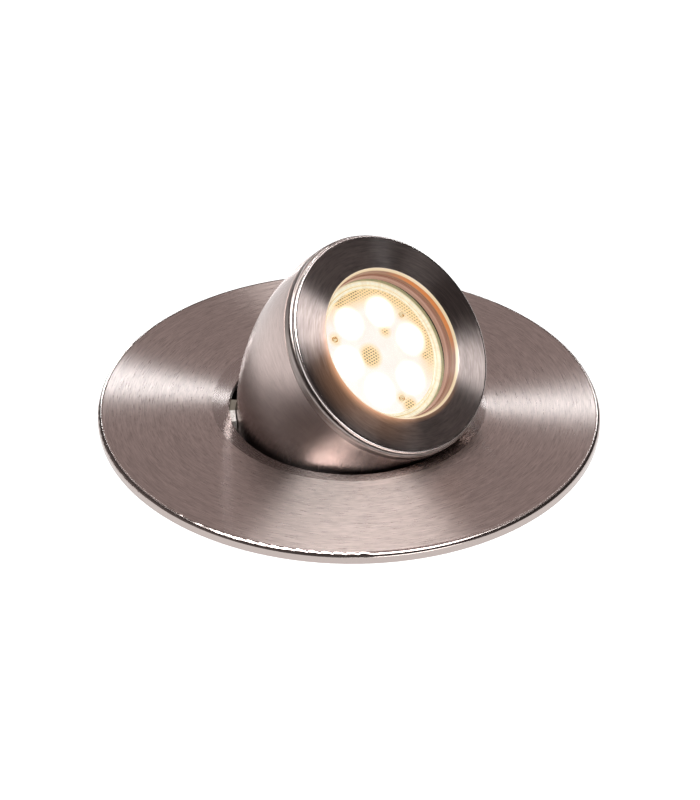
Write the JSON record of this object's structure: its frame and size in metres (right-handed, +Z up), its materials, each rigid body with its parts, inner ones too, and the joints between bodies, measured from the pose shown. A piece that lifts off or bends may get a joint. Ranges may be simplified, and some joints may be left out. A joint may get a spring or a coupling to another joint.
{
  "type": "in-ground light",
  "caption": "Round in-ground light: brushed cover plate, a head that tilts up through its hole on a front hinge, and a plastic ground sleeve that the cover swivels in.",
  "frame": {"origin": "centre of the ground sleeve's mouth at ground level, on the sleeve's axis", "axes": "+Z up along the sleeve's axis, -Y the way the raised head faces, X along the tilt hinge"},
  "size_m": [0.15, 0.15, 0.1545],
  "materials": {
    "plate_steel": "circular brushed stainless steel",
    "fastener_steel": "plain stainless steel",
    "shell_steel": "satin turned stainless steel",
    "bezel_steel": "circular brushed stainless steel, darker",
    "spring_steel": "bright spring steel",
    "black_nylon": "moulded black glass-filled nylon",
    "grey_nylon": "light grey moulded low-friction plastic",
    "sleeve_plastic": "moulded black polypropylene",
    "black_rubber": "black silicone rubber",
    "clear_glass": "clear toughened glass",
    "lens_acrylic": "clear moulded acrylic with fine dots",
    "module_alloy": "cast aluminium",
    "holder_chrome": "bright metallised plastic",
    "board_white": "white solder resist",
    "led_yellow": "clear silicone over yellow phosphor",
    "pad_grey": "grey thermal silicone",
    "board_green": "green solder resist with dark components",
    "gland_nylon": "black nylon",
    "gland_brass": "nickel-plated brass"
  },
  "bodies": {
    "sleeve": {"ground_sleeve": "sleeve_plastic", "sleeve_base": "sleeve_plastic", "sleeve_gland_body": "gland_nylon", "sleeve_gland_cap": "gland_nylon", "sleeve_gland_seal": "black_rubber", "sleeve_gland_locknut": "gland_nylon"},
    "cover": {"cover_plate": "plate_steel", "plate_studs": "fastener_steel", "stud_washers": "fastener_steel", "stud_nuts": "fastener_steel", "carrier_ring": "black_nylon", "carrier_seal": "black_rubber", "cover_gasket": "black_rubber", "retaining_clips": "spring_steel", "hinge_bracket": "fastener_steel", "bracket_screws": "fastener_steel", "hinge_pin": "fastener_steel", "pin_clip": "spring_steel", "hinge_washers": "grey_nylon", "spring_block_left": "grey_nylon", "spring_block_right": "grey_nylon", "block_rivets": "fastener_steel", "friction_spring_left": "spring_steel", "friction_spring_right": "spring_steel"},
    "head": {"head_shell": "shell_steel", "shell_collar": "shell_steel", "bezel_gasket": "black_rubber", "bezel": "bezel_steel", "glass": "clear_glass", "glass_gasket": "black_rubber", "glass_seat": "black_rubber", "module_housing": "module_alloy", "lens_holder": "holder_chrome", "lens_array": "lens_acrylic", "lens_screws": "fastener_steel", "led_board": "board_white", "leds": "led_yellow", "thermal_pad": "pad_grey", "driver_board": "board_green", "module_back": "module_alloy", "back_screws": "fastener_steel", "head_base": "black_nylon", "side_screws": "fastener_steel", "cable_grommet": "black_rubber", "module_gland_body": "gland_brass", "module_gland_cap": "gland_brass", "module_gland_seal": "black_rubber"}
  },
  "joints": [
    {"name": "cover_swivel", "type": "hinge", "parent": "sleeve", "child": "cover", "pos_m": [0, 0, 0], "axis": [0, 0, 1], "range_deg": [-174, 174]},
    {"name": "head_tilt", "type": "hinge", "parent": "cover", "child": "head", "pos_m": [0, -0.0397, -0.0019], "axis": [1, 0, 0], "range_deg": [-45.8, 0]}
  ]
}
